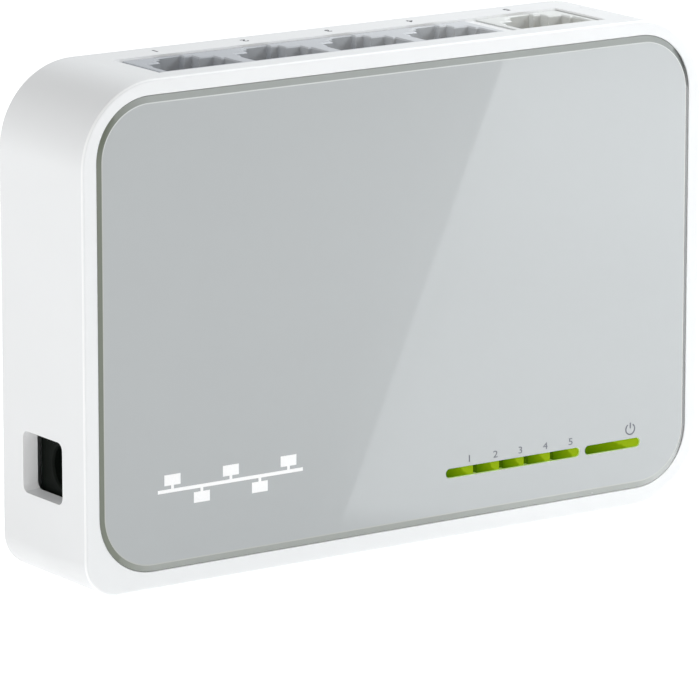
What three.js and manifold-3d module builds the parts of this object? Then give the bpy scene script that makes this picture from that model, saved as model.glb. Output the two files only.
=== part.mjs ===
// Desktop network switch with five ports, standing on its long lower edge.
// Millimetres. X runs along the front, Y from the front panel to the back, Z up.
// The origin is at the middle of the bottom of the overall box.
import * as THREE from "three";
import { mergeVertices } from "three/addons/utils/BufferGeometryUtils.js";
import Module from "manifold-3d";

const wasm = await Module();
wasm.setup();

// ---- Driving dimensions ----
const WIDTH = 103.5;
const HEIGHT = 70;
const DEPTH = 22; // from the face of the panel to the soles of the feet
const CORNER = 11.6; // radius of the shell's long corners, seen from the front
const TIGHT_CORNER = 5.1; // radius of the lower left one, below the power jack
const WALL = 2.2;
const EDGE = 0.5; // rounding of the shell's front and rear edges
const GAP = 0.3; // kept between pieces that rest on each other
const SLIP = 0.12; // kept round the light guides, which sit closely in their slots
const BEYOND = 2; // how far a cutting solid runs past the face that it opens

const FRONT = -DEPTH / 2; // plateau of the panel
const RIM_FRONT = FRONT + 0.2;
const SHELL_BACK = DEPTH / 2 - 0.4;
const MIDDLE_Z = HEIGHT / 2;

// Panel pocket in the front of the shell: the rim is a little wider at the bottom.
const RIM_SIDE = 2.15;
const RIM_TOP = 2.0;
const RIM_BOTTOM = 2.4;
const POCKET_WIDTH = WIDTH - 2 * RIM_SIDE;
const POCKET_HEIGHT = HEIGHT - RIM_TOP - RIM_BOTTOM;
const POCKET_Z = (HEIGHT - RIM_TOP + RIM_BOTTOM) / 2;
const POCKET_CORNER = 8.6; // radius of the front pocket's four corners
const POCKET_FLOOR = FRONT + 1.7;
const FRONT_WALL_BACK = POCKET_FLOOR + 1.5;
const PANEL_FIT = 0.2; // gap between the panel's edge and the rim
const PANEL_BEVEL = { wide: 0.9, deep: 0.25 };

// Back cover, let into a rebate at the back of the shell.
const REBATE_WALL = 1.2;
const REBATE_FLOOR = SHELL_BACK - 1.7;
const COVER_FACE = SHELL_BACK - 0.2;
const COVER_INSIDE = REBATE_FLOOR + GAP;
const COVER_FIT = 0.25;
const VENT = { width: 1.6, length: 16, pitch: 3.6, perRow: 9, rows: [22, 48] };

// Feet, one in a shallow round seat near each corner of the cover.
const FOOT = { radius: 4.2, x: 41, zLow: 11, zHigh: 59, seat: 0.5 };

// Circuit board, parallel to the panel, with its parts on the side toward the panel.
const BOARD = { width: 94, bottom: 5, top: 64, face: 4.8, thick: 1.6, corner: 4 };
const BOARD_BACK = BOARD.face + BOARD.thick;
const PART_BASE = BOARD.face - GAP; // where the parts on the board stand
const CHIP = { x: -2, z: 30, side: 14, high: 1.4 };
const TRANSFORMER = { x: [-17, 9], z: 43.5, wide: 18, tall: 8, high: 6 };
const CRYSTAL = { x: 16, z: 31, wide: 4.6, tall: 11, corner: 2.2, high: 3.6 };
const REGULATOR = { x: -27, z: 13, wide: 6.5, tall: 3.5, high: 1.7 };
const INDUCTOR = { x: -27, z: 22, radius: 3.5, high: 4.5 };
const CAPACITOR = { places: [[-19, 13], [-19, 22], [-27, 32]], radius: 3, high: 8 };

// Screws: the cover's pair runs into tall posts, the board's pair into short ones.
const POST_RADIUS = 3;
const POST_ROOT = 0.5; // how far a post is sunk into the front wall
const COVER_POST_TOP = COVER_INSIDE - 1.0; // the cover's bosses reach down toward it
const BOARD_POST_TOP = BOARD.face - GAP;
const BOSS = { radius: 4, deep: 0.7 };
const SHANK_RADIUS = 1.2;
const HEAD = { radius: 2.4, high: 0.9, recessRadius: 1.1, recessDeep: 0.5 };
const SCREW_LENGTH = 8;
const COVER_SCREWS = [[-43.5, 38], [43.5, 38]];
const BOARD_SCREWS = [[-43.5, 52], [43.5, 22]];

// Jack recess along the top of the shell, and the jacks that show in it.
const RECESS = { left: -37.15, right: 37.3, front: -7.15, back: 4.4, deep: 0.5 };
const RECESS_FLOOR = HEIGHT - RECESS.deep;
const PORT_X = [-28.5, -14.3, -0.15, 14.0, 30.3]; // port centres: four in a gang, then one alone
const GANG_PORTS = 4;
const JACK = {
  side: 7.1, front: -6.3, back: 4.1, top: HEIGHT - 0.35, bottom: 50.2, shoulder: 66, footDeep: 1,
};
const CAVITY_FLOOR = 53;
// Half width of a port from the panel side to the board side: the plug's body, its
// shoulders, then the two steps of the latch slot. The last step runs out through the back
// of the jack above its foot.
const CAVITY_STEPS = [
  { half: 5.95, from: -5.05, to: -0.85 },
  { half: 5.45, from: -0.85, to: 1.1 },
  { half: 3.15, from: 1.1, to: 3.0 },
  { half: 1.95, from: 3.0, to: 4.35 },
];

// Sprung wires of a port: they start at a bar under the mouth and slope into the port.
const WIRE = { count: 8, pitch: 1.02, wide: 0.42, thick: 0.35 };
const WIRE_ROOT = { y: -4.45, z: 67.2 };
const WIRE_TIP = { y: -1.85, z: 60 };
const WIRE_TAIL = { y: -2.85, z: 57.4 };
const WIRE_BAR = { half: 4.2, y: 0.3, z: 0.35 };

// Power jack and its recess in the left side.
const POWER_RECESS = { front: -5.1, back: 4.9, bottom: 12.0, top: 20.6, corner: 1 };
const POWER = { y: -1.9, z: 16.3, mouth: -WIDTH / 2 + WALL + GAP, back: -35 };
const POWER_JACK = { front: -6.2, half: 4.5, boreRadius: 3.1, boreEnd: -38.5 };
const POWER_SLOT = { left: -47, right: -37.4, half: 1.1, floor: 4.0 };
const PIN = { radius: 1.0, tip: -47.6, holeRadius: 1.3, flangeRadius: 1.8, flange: 0.5 };
const LEAF = { thick: 0.35, half: 0.8, root: [-38.2, 2.9], crest: [-42.5, 0.9], end: [-46, 2.3] };

// Light slots in the panel: one with a segment for each port, and one for the power light.
const SLOT = { bottom: 8.63, top: 9.97 };
const PORT_SLOT = [7.37, 30.58];
const POWER_LIGHT = [31.49, 41.24];
const SEGMENTS = [[7.37, 12.15], [12.74, 16.65], [17.31, 20.92], [21.59, 25.48], [25.99, 30.58]];
const GUIDE = { front: FRONT + 0.15, back: 3.2 };
const BAFFLE = { left: 5.5, right: 43, front: FRONT_WALL_BACK + GAP, back: 3.0, bottom: 6.8, top: 11.8 };
const CELL = { clear: 0.14, bottom: 8.3, top: 10.3 };
const LED = { wide: 2.0, deep: 1.0, high: 1.2 };

// ---- Solids ----

// A closed three.js geometry as a manifold-3d solid.
function toSolid(geometry) {
  const bare = geometry.clone();
  bare.deleteAttribute("normal");
  bare.deleteAttribute("uv");
  const merged = mergeVertices(bare, 1e-4);
  return new wasm.Manifold(new wasm.Mesh({
    numProp: 3,
    vertProperties: new Float32Array(merged.attributes.position.array),
    triVerts: new Uint32Array(merged.index.array),
  }));
}

function box(x0, x1, y0, y1, z0, z1) {
  const geometry = new THREE.BoxGeometry(x1 - x0, y1 - y0, z1 - z0);
  geometry.translate((x0 + x1) / 2, (y0 + y1) / 2, (z0 + z1) / 2);
  return toSolid(geometry);
}

function roundedRectangle(width, height, radius) {
  const x = width / 2 - radius;
  const y = height / 2 - radius;
  const quarter = Math.PI / 2;
  const shape = new THREE.Shape();
  [[x, y], [-x, y], [-x, -y], [x, -y]].forEach(([cx, cy], i) =>
    shape.absarc(cx, cy, radius, i * quarter, (i + 1) * quarter, false));
  shape.closePath();
  return shape;
}

// A plate seen from the front as a rounded rectangle, from y0 to y1, with both edges cut back.
function plate({ x = 0, z, width, height, corner, y0, y1, edge = 0, edgeDeep = edge, arc = 8 }) {
  const geometry = new THREE.ExtrudeGeometry(roundedRectangle(width, height, corner), {
    depth: y1 - y0 - 2 * edgeDeep,
    bevelEnabled: edge > 0,
    bevelThickness: edgeDeep,
    bevelSize: edge,
    bevelOffset: -edge,
    bevelSegments: 2,
    curveSegments: arc,
  });
  geometry.rotateX(Math.PI / 2);
  geometry.translate(x, y1 - edgeDeep, z);
  return toSolid(geometry);
}

// A slot with round ends, seen from the front.
function pill(x0, x1, z0, z1, y0, y1) {
  const high = z1 - z0;
  return plate({
    x: (x0 + x1) / 2, z: (z0 + z1) / 2, width: x1 - x0, height: high, corner: high / 2 - 0.01,
    y0, y1, arc: 5,
  });
}

// A round bar along Y.
function roundY(x, z, radius, y0, y1, sides = 20) {
  const geometry = new THREE.CylinderGeometry(radius, radius, y1 - y0, sides);
  geometry.translate(x, (y0 + y1) / 2, z);
  return toSolid(geometry);
}

// A round bar along X on the power jack's axis.
function roundPower(radius, x0, x1, sides = 24) {
  const geometry = new THREE.CylinderGeometry(radius, radius, x1 - x0, sides);
  geometry.rotateZ(Math.PI / 2);
  geometry.translate((x0 + x1) / 2, POWER.y, POWER.z);
  return toSolid(geometry);
}

// A strip of even thickness that follows points in a plane, as a closed outline.
function stripShape(points, thick) {
  const path = points.map(([a, b]) => new THREE.Vector2(a, b));
  const sideAt = (i) => {
    const before = path[Math.max(i - 1, 0)];
    const after = path[Math.min(i + 1, path.length - 1)];
    const along = after.clone().sub(before).normalize();
    return new THREE.Vector2(-along.y, along.x).multiplyScalar(thick / 2);
  };
  const left = path.map((p, i) => p.clone().add(sideAt(i)));
  const right = path.map((p, i) => p.clone().sub(sideAt(i))).reverse();
  return new THREE.Shape([...left, ...right]);
}

function cutAll(solid, cutters) {
  return cutters.reduce((rest, cutter) => rest.subtract(cutter), solid);
}

function joinAll(solids) {
  return solids.reduce((whole, piece) => whole.add(piece));
}

// ---- Materials ----

const plastic = (color, roughness = 0.5) =>
  new THREE.MeshStandardMaterial({ color, roughness, metalness: 0 });
const metal = (color, roughness = 0.3) =>
  new THREE.MeshStandardMaterial({ color, roughness, metalness: 1 });

const LOOKS = {
  shell: () => plastic(0xf1f2f3, 0.45),
  panel: () => plastic(0xc2c5c8, 0.15),
  foot: () => plastic(0xb9bbbd, 0.9),
  guide: () => plastic(0x9ecb1c, 0.2),
  baffle: () => plastic(0x31343a, 0.6),
  board: () => plastic(0x1f6b3a, 0.5),
  jack: () => plastic(0xd6d8d6, 0.5),
  blackPlastic: () => plastic(0x111214, 0.4),
  led: () => plastic(0xf3f1e6, 0.3),
  gold: () => metal(0xd9b25a, 0.25),
  steel: () => metal(0xb8bbc0, 0.35),
  can: () => metal(0xcfd2d6, 0.2),
};

const model = new THREE.Group();

function addPart(name, solid, look) {
  const mesh = solid.getMesh();
  const geometry = new THREE.BufferGeometry();
  geometry.setAttribute("position", new THREE.BufferAttribute(mesh.vertProperties, 3));
  geometry.setIndex(new THREE.BufferAttribute(mesh.triVerts, 1));
  geometry.computeVertexNormals();
  const part = new THREE.Mesh(geometry, LOOKS[look]());
  part.name = name;
  model.add(part);
}

// ---- Casing ----

function shellCuts() {
  const guideHole = ([x0, x1]) =>
    pill(x0 - GAP, x1 + GAP, SLOT.bottom - GAP, SLOT.top + GAP, POCKET_FLOOR - 1, FRONT_WALL_BACK + 1);
  const jackHole = ({ left, right }) =>
    box(left - GAP, right + GAP, JACK.front - GAP, JACK.back + GAP, HEIGHT - WALL - BEYOND, HEIGHT);
  const powerHole = new THREE.ExtrudeGeometry(
    roundedRectangle(
      POWER_RECESS.back - POWER_RECESS.front,
      POWER_RECESS.top - POWER_RECESS.bottom,
      POWER_RECESS.corner,
    ),
    { depth: WALL + 2 * BEYOND, bevelEnabled: false, curveSegments: 4 },
  );
  powerHole.rotateX(Math.PI / 2);
  powerHole.rotateZ(Math.PI / 2);
  powerHole.translate(
    -WIDTH / 2 - BEYOND,
    (POWER_RECESS.front + POWER_RECESS.back) / 2,
    (POWER_RECESS.bottom + POWER_RECESS.top) / 2,
  );
  return [
    box(RECESS.left, RECESS.right, RECESS.front, RECESS.back, RECESS_FLOOR, HEIGHT + BEYOND),
    ...jackSpans().map(jackHole),
    guideHole(PORT_SLOT),
    guideHole(POWER_LIGHT),
    toSolid(powerHole),
  ];
}

function shellOutside() {
  const size = {
    z: MIDDLE_Z, width: WIDTH, height: HEIGHT, y0: RIM_FRONT, y1: SHELL_BACK, edge: EDGE, arc: 12,
  };
  const left = -WIDTH / 2;
  const lowerLeft = box(
    left - BEYOND, left + CORNER, RIM_FRONT - BEYOND, SHELL_BACK + BEYOND, -BEYOND, CORNER,
  );
  const tight = plate({ ...size, corner: TIGHT_CORNER }).intersect(lowerLeft);
  return plate({ ...size, corner: CORNER }).add(tight);
}

function bodyShell() {
  const panelPocket = plate({
    z: POCKET_Z, width: POCKET_WIDTH, height: POCKET_HEIGHT, corner: POCKET_CORNER,
    y0: RIM_FRONT - BEYOND, y1: POCKET_FLOOR, arc: 10,
  });
  const inside = plate({
    z: MIDDLE_Z, width: WIDTH - 2 * WALL, height: HEIGHT - 2 * WALL, corner: CORNER - WALL,
    y0: FRONT_WALL_BACK, y1: SHELL_BACK + BEYOND, arc: 10,
  });
  const rebate = plate({
    z: MIDDLE_Z, width: WIDTH - 2 * REBATE_WALL, height: HEIGHT - 2 * REBATE_WALL,
    corner: CORNER - REBATE_WALL, y0: REBATE_FLOOR, y1: SHELL_BACK + BEYOND, arc: 10,
  });
  const post = ([x, z], top) => roundY(x, z, POST_RADIUS, FRONT_WALL_BACK - POST_ROOT, top);
  const pilot = ([x, z], top) => roundY(x, z, SHANK_RADIUS + GAP, top - SCREW_LENGTH, top + 1, 12);
  const hollow = cutAll(shellOutside(), [panelPocket, inside, rebate]);
  const posts = [
    ...COVER_SCREWS.map((at) => post(at, COVER_POST_TOP)),
    ...BOARD_SCREWS.map((at) => post(at, BOARD_POST_TOP)),
  ];
  const pilots = [
    ...COVER_SCREWS.map((at) => pilot(at, COVER_POST_TOP)),
    ...BOARD_SCREWS.map((at) => pilot(at, BOARD_POST_TOP)),
  ];
  return cutAll(joinAll([hollow, ...posts]), [...pilots, ...shellCuts()]);
}

// The panel is bevelled at its front edge only, so a plate bevelled on both sides is cut off behind.
function frontPanel() {
  const size = {
    z: POCKET_Z,
    width: POCKET_WIDTH - 2 * PANEL_FIT,
    height: POCKET_HEIGHT - 2 * PANEL_FIT,
    corner: POCKET_CORNER - PANEL_FIT,
    y0: FRONT,
    arc: 10,
  };
  const back = POCKET_FLOOR - GAP;
  const bevelled = plate({ ...size, y1: back + 1, edge: PANEL_BEVEL.wide, edgeDeep: PANEL_BEVEL.deep });
  const straight = plate({ ...size, y0: FRONT - 1, y1: back });
  const slots = [PORT_SLOT, POWER_LIGHT].map(([x0, x1]) =>
    pill(x0, x1, SLOT.bottom, SLOT.top, FRONT - 1, back + 1));
  return cutAll(bevelled.intersect(straight), slots);
}

function footPlaces() {
  const { x, zLow, zHigh } = FOOT;
  return [[-x, zLow], [x, zLow], [x, zHigh], [-x, zHigh]];
}

function baseCover() {
  const inset = REBATE_WALL + COVER_FIT;
  const sheet = plate({
    z: MIDDLE_Z, width: WIDTH - 2 * inset, height: HEIGHT - 2 * inset, corner: CORNER - inset,
    y0: COVER_INSIDE, y1: COVER_FACE, arc: 8,
  });
  const bosses = COVER_SCREWS.map(([x, z]) =>
    roundY(x, z, BOSS.radius, COVER_INSIDE - BOSS.deep, COVER_FACE - 0.1));
  const holes = COVER_SCREWS.flatMap(([x, z]) => [
    roundY(x, z, SHANK_RADIUS + GAP, COVER_INSIDE - BEYOND, COVER_FACE + 1, 12),
    roundY(x, z, HEAD.radius + GAP, COVER_FACE - HEAD.high - GAP, COVER_FACE + 1),
  ]);
  const seats = footPlaces().map(([x, z]) =>
    roundY(x, z, FOOT.radius + GAP, COVER_FACE - FOOT.seat, COVER_FACE + 1, 24));
  const vents = VENT.rows.flatMap((z) =>
    Array.from({ length: VENT.perRow }, (_, i) => {
      const x = (i - (VENT.perRow - 1) / 2) * VENT.pitch;
      return box(
        x - VENT.width / 2, x + VENT.width / 2, COVER_INSIDE - 1, COVER_FACE + 1,
        z - VENT.length / 2, z + VENT.length / 2,
      );
    }));
  return cutAll(joinAll([sheet, ...bosses]), [...holes, ...seats, ...vents]);
}

// A screw driven from the back, with its head's outer face at headTop and a recess for the driver.
function screw([x, z], headTop) {
  const head = roundY(x, z, HEAD.radius, headTop - HEAD.high, headTop);
  const shank = roundY(x, z, SHANK_RADIUS, headTop - HEAD.high - SCREW_LENGTH + 1, headTop - 0.2, 12);
  const blade = 0.3; // half the width of each arm of the cross
  const arms = [[HEAD.recessRadius, blade], [blade, HEAD.recessRadius]].map(([a, b]) =>
    box(x - a, x + a, headTop - HEAD.recessDeep, headTop + 1, z - b, z + b));
  return cutAll(head.add(shank), arms);
}

addPart("body_shell", bodyShell(), "shell");
addPart("front_panel", frontPanel(), "panel");
addPart("base_cover", baseCover(), "shell");
footPlaces().forEach(([x, z], i) => {
  const sole = DEPTH / 2;
  addPart(`rubber_foot_${i + 1}`, roundY(x, z, FOOT.radius, COVER_FACE - FOOT.seat + GAP, sole, 24), "foot");
});
COVER_SCREWS.forEach((at, i) => addPart(`cover_screw_${i + 1}`, screw(at, COVER_FACE - 0.1), "steel"));
BOARD_SCREWS.forEach((at, i) =>
  addPart(`pcb_screw_${i + 1}`, screw(at, BOARD_BACK + GAP + HEAD.high), "steel"));

// ---- Board and the parts that stand on it ----

function circuitBoard() {
  const sheet = plate({
    z: (BOARD.bottom + BOARD.top) / 2, width: BOARD.width, height: BOARD.top - BOARD.bottom,
    corner: BOARD.corner, y0: BOARD.face, y1: BOARD_BACK, arc: 4,
  });
  const clearance = 0.6;
  const through = (radius) => ([x, z]) => roundY(x, z, radius, BOARD.face - 1, BOARD_BACK + 1);
  return cutAll(sheet, [
    ...COVER_SCREWS.map(through(POST_RADIUS + clearance)),
    ...BOARD_SCREWS.map(through(SHANK_RADIUS + GAP)),
  ]);
}

// A box on the board, given by its centre, its size along X and Z, and its height off the board.
function block(x, z, wide, tall, high) {
  return box(x - wide / 2, x + wide / 2, PART_BASE - high, PART_BASE, z - tall / 2, z + tall / 2);
}

function can(x, z, radius, high) {
  return roundY(x, z, radius, PART_BASE - high, PART_BASE);
}

addPart("pcb", circuitBoard(), "board");
addPart("switch_chip", block(CHIP.x, CHIP.z, CHIP.side, CHIP.side, CHIP.high), "blackPlastic");
TRANSFORMER.x.forEach((x, i) => {
  const body = block(x, TRANSFORMER.z, TRANSFORMER.wide, TRANSFORMER.tall, TRANSFORMER.high);
  addPart(`transformer_${i + 1}`, body, "blackPlastic");
});
addPart("crystal", plate({
  x: CRYSTAL.x, z: CRYSTAL.z, width: CRYSTAL.wide, height: CRYSTAL.tall, corner: CRYSTAL.corner,
  y0: PART_BASE - CRYSTAL.high, y1: PART_BASE, arc: 5,
}), "can");
addPart(
  "regulator",
  block(REGULATOR.x, REGULATOR.z, REGULATOR.wide, REGULATOR.tall, REGULATOR.high),
  "blackPlastic",
);
addPart("inductor", can(INDUCTOR.x, INDUCTOR.z, INDUCTOR.radius, INDUCTOR.high), "blackPlastic");
CAPACITOR.places.forEach(([x, z], i) =>
  addPart(`capacitor_${i + 1}`, can(x, z, CAPACITOR.radius, CAPACITOR.high), "can"));

// ---- Network jacks ----

function jackSpans() {
  const gang = PORT_X.slice(0, GANG_PORTS);
  return [gang, PORT_X.slice(GANG_PORTS)].map((centres) => ({
    centres,
    left: centres[0] - JACK.side,
    right: centres[centres.length - 1] + JACK.side,
  }));
}

function portCavity(centre) {
  const overlap = 0.01;
  return joinAll(CAVITY_STEPS.map(({ half, from, to }) =>
    box(centre - half, centre + half, from - overlap, to, CAVITY_FLOOR, HEIGHT + BEYOND)));
}

function jackHousing({ centres, left, right }) {
  const front = box(left, right, JACK.front, JACK.back, JACK.bottom, JACK.top);
  const foot = box(left, right, JACK.back - JACK.footDeep, PART_BASE, JACK.bottom, JACK.shoulder);
  return cutAll(front.add(foot), centres.map(portCavity));
}

// Eight sprung wires and the bar that holds them, which turn together about the bar.
function portContacts(centre) {
  const path = [WIRE_ROOT, WIRE_TIP, WIRE_TAIL].map(({ y, z }) => [y, z]);
  const wires = Array.from({ length: WIRE.count }, (_, i) => {
    const x = centre + (i - (WIRE.count - 1) / 2) * WIRE.pitch;
    const geometry = new THREE.ExtrudeGeometry(stripShape(path, WIRE.thick), {
      depth: WIRE.wide, bevelEnabled: false,
    });
    // The outline's axes become Y and Z, and the extrusion runs along X.
    const turn = new THREE.Matrix4().makeBasis(
      new THREE.Vector3(0, 1, 0), new THREE.Vector3(0, 0, 1), new THREE.Vector3(1, 0, 0),
    );
    geometry.applyMatrix4(turn);
    geometry.translate(x - WIRE.wide / 2, 0, 0);
    return toSolid(geometry);
  });
  const bar = box(
    centre - WIRE_BAR.half, centre + WIRE_BAR.half, WIRE_ROOT.y - WIRE_BAR.y, WIRE_ROOT.y + WIRE_BAR.y,
    WIRE_ROOT.z - WIRE_BAR.z, WIRE_ROOT.z + WIRE_BAR.z,
  );
  return joinAll([bar, ...wires]);
}

const [gangSpan, singleSpan] = jackSpans();
addPart("rj45_gang_housing", jackHousing(gangSpan), "jack");
addPart("rj45_single_housing", jackHousing(singleSpan), "jack");
PORT_X.forEach((x, i) => addPart(`port_${i + 1}_contacts`, portContacts(x), "gold"));

// ---- Power jack ----

function powerHousing() {
  const body = box(
    POWER.mouth, POWER.back, POWER_JACK.front, PART_BASE,
    POWER.z - POWER_JACK.half, POWER.z + POWER_JACK.half,
  );
  const bore = roundPower(POWER_JACK.boreRadius, POWER.mouth - 1, POWER_JACK.boreEnd);
  const pinHole = roundPower(PIN.holeRadius, POWER_JACK.boreEnd - 1, POWER.back + 1, 16);
  const leafSlot = box(
    POWER_SLOT.left, POWER_SLOT.right, POWER.y, POWER_SLOT.floor,
    POWER.z - POWER_SLOT.half, POWER.z + POWER_SLOT.half,
  );
  return cutAll(body, [bore, pinHole, leafSlot]);
}

// The centre pin turned about its own axis: a round tip, a plain shank and a flange behind the jack.
function powerPin() {
  const length = POWER.back + GAP - PIN.tip;
  const tip = Array.from({ length: 5 }, (_, i) => {
    const angle = (i / 4) * (Math.PI / 2);
    return new THREE.Vector2(PIN.radius * Math.sin(angle), PIN.radius * (1 - Math.cos(angle)));
  });
  const geometry = new THREE.LatheGeometry([
    ...tip,
    new THREE.Vector2(PIN.radius, length),
    new THREE.Vector2(PIN.flangeRadius, length),
    new THREE.Vector2(PIN.flangeRadius, length + PIN.flange),
    new THREE.Vector2(0, length + PIN.flange),
  ], 16);
  geometry.rotateZ(-Math.PI / 2);
  geometry.translate(PIN.tip, POWER.y, POWER.z);
  return toSolid(geometry);
}

function powerLeaf() {
  const geometry = new THREE.ExtrudeGeometry(stripShape([LEAF.root, LEAF.crest, LEAF.end], LEAF.thick), {
    depth: 2 * LEAF.half, bevelEnabled: false,
  });
  geometry.translate(0, 0, POWER.z - LEAF.half);
  return toSolid(geometry);
}

addPart("dc_jack_housing", powerHousing(), "blackPlastic");
addPart("dc_jack_pin", powerPin(), "steel");
addPart("dc_jack_spring", powerLeaf(), "steel");

// ---- Lights ----

function lightGuide([x0, x1], [slotLeft, slotRight]) {
  const bar = pill(
    slotLeft + SLIP, slotRight - SLIP, SLOT.bottom + SLIP, SLOT.top - SLIP, GUIDE.front, GUIDE.back,
  );
  return bar.intersect(box(x0, x1, FRONT, GUIDE.back + 1, SLOT.bottom, SLOT.top));
}

function ledBaffle(spans) {
  const { left, right, front, back, bottom, top } = BAFFLE;
  const cells = spans.map(([x0, x1]) =>
    box(x0 - CELL.clear, x1 + CELL.clear, front - 1, back + 1, CELL.bottom, CELL.top));
  return cutAll(box(left, right, front, back, bottom, top), cells);
}

const LIGHTS = [
  ...SEGMENTS.map((span, i) => ({ label: `${i + 1}`, span, slot: PORT_SLOT })),
  { label: "power", span: POWER_LIGHT, slot: POWER_LIGHT },
];
LIGHTS.forEach(({ label, span, slot }) => {
  const middle = (span[0] + span[1]) / 2;
  addPart(`led_lens_${label}`, lightGuide(span, slot), "guide");
  addPart(`led_${label}`, block(middle, (SLOT.bottom + SLOT.top) / 2, LED.wide, LED.high, LED.deep), "led");
});
addPart("led_baffle", ledBaffle(LIGHTS.map(({ span }) => span)), "baffle");

export default model;
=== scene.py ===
# Desktop network switch: the looks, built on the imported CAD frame.
# Lengths in the builder functions are millimetres in the CAD frame; meshes are made in metres.
import math

import bmesh
import bpy
from mathutils import Matrix, Vector


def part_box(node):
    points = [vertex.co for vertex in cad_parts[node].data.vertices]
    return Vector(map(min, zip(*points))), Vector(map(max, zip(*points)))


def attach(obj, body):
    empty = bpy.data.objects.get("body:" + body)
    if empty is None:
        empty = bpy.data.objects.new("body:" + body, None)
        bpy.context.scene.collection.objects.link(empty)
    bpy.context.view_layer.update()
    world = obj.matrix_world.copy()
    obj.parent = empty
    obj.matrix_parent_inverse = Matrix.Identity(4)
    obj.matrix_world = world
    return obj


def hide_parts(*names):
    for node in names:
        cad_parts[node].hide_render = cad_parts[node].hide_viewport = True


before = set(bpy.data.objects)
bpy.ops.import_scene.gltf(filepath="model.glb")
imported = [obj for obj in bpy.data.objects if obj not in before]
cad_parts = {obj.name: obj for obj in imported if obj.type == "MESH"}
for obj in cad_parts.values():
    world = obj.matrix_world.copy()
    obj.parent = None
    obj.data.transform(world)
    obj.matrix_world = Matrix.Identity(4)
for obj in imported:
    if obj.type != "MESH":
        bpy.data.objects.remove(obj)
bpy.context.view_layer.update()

MM = 0.001
BODY = "casing"

# ---- Sizes, in millimetres: from the frame where it gives them ----

def box_mm(node):
    low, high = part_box(node)
    return low / MM, high / MM


def middle_mm(node):
    low, high = box_mm(node)
    return (low + high) / 2


SHELL_LOW, SHELL_HIGH = box_mm("body_shell")
PANEL_LOW, PANEL_HIGH = box_mm("front_panel")
COVER_LOW, COVER_HIGH = box_mm("base_cover")

INK = 0.012               # room that the casing and the panel leave for the printing
PRINT_DEPTH = 1.2 * INK   # the printing sinks a little into them
GAP = 0.3                 # kept between pieces that meet

CORNER = 11.6             # radius of the shell's corners
TIGHT_CORNER = 5.1        # radius of the lower left one, below the power jack
ARC_STEPS = 20            # facets of a large round corner
RIM_FRONT = SHELL_LOW.y
SHELL_BACK = SHELL_HIGH.y
HALF_WIDTH = SHELL_HIGH.x
HEIGHT = SHELL_HIGH.z
WALL = 2.2                # thickness of the shell
FRONT_EDGE = 0.45         # rounding of the rim's outer edge
REAR_EDGE = 0.8           # rounding of the shell's rear edge
POCKET_EASE = 0.1         # rounding of the rim's inner edge
PANEL_CORNER = 8.4
PANEL_FIT = 0.05          # gap between the panel and the rim
POCKET_FLOOR = PANEL_HIGH.y + GAP
FRONT_WALL_BACK = POCKET_FLOOR + 1.5
REBATE_WALL = 1.2         # what is left of the shell beside the rebate that the cover sits in
REBATE_FLOOR = SHELL_BACK - 1.7
COVER_CORNER = CORNER - REBATE_WALL - 0.25

BEVEL_SIDE = 0.62         # the panel's bevelled edge: its width at the left and right
BEVEL_TALL = 0.9          # its width at the top and bottom
BEVEL_DEEP = 0.25
LIP_WIDE = 0.16           # the bevel rolls over a lip into the plateau; the lip is painted lighter, a painted highlight
LIP_DEEP = 0.03
LIP_STEPS = 3

# The recess in the top edge, and the ports in it
RECESS_LEFT, RECESS_RIGHT = -37.15, 37.3
RECESS_FRONT, RECESS_BACK = -7.15, 4.4
RECESS_FLOOR = HEIGHT - 0.5
PORT_X = [middle_mm(f"port_{i}_contacts").x for i in range(1, 6)]
GANG_PORTS = 4            # ports in the first jack body; the fifth has its own
CAVITY_FLOOR = 53.0
CAVITY_FRONT = -5.05
CAVITY_STEPS = [(5.95, -0.85), (5.45, 1.1), (3.15, 3.0), (1.95, 4.1)]  # half width, rear end
PORT_CHAMFER = 0.2
HEEL_TOP = 66.0           # below this a jack body reaches further back

WIRE_COUNT = 8
WIRE_PITCH = 1.02
WIRE_RADIUS = 0.2
WIRE_PATH = [(-4.45, 67.2), (-1.85, 60.0), (-2.85, 57.4)]  # (y, z) of the root, the bend and the tail
WIRE_BEND = 0.9           # how far each side of the bend its curve begins
BAR_HIGH, BAR_DEEP = 0.7, 0.6  # the bar that holds the wires at their roots
COMB_TOP = 66.3           # ribs between the wires, below the bar
COMB_BACK = -3.85
COMB_HALF = 0.18

POWER_Y, POWER_Z = -1.9, 16.3           # axis of the power jack's bore, which runs along X
POWER_RECESS = (-5.1, 4.9, 12.0, 20.6)  # front, back, bottom and top of its mouth
POWER_RECESS_CORNER = 1.1
POWER_RECESS_DRAFT = 0.09               # how much narrower each side is per millimetre inward
POWER_BORE = 3.1
POWER_BORE_END = -38.5
POWER_COLLAR = dict(radius=4.2, proud=0.25, chamfer=0.1)
POWER_PIN = dict(radius=1.0, flange=1.8, flange_long=0.5, hole=1.3)
LEAF_SLOT = dict(left=-47.0, right=-37.4, back=4.0, half_high=1.1)

# The slots in the panel for the lights, and the segments of the guide in the first of them
SEGMENTS = [(7.37, 12.15), (12.74, 16.65), (17.31, 20.92), (21.59, 25.48), (25.99, 30.58)]
PORT_SLOT = (SEGMENTS[0][0], SEGMENTS[-1][1])
POWER_SLOT = (31.49, 41.24)
SLOT_BOTTOM, SLOT_TOP = 8.63, 9.97
SLOT_CORNER = (SLOT_TOP - SLOT_BOTTOM) / 2 - 0.01
GUIDE_FIT = 0.05          # gap between a guide and its slot
LIGHT_HOLE_CORNER = 0.9   # of the holes behind the slots, in the shell's front wall

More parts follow.
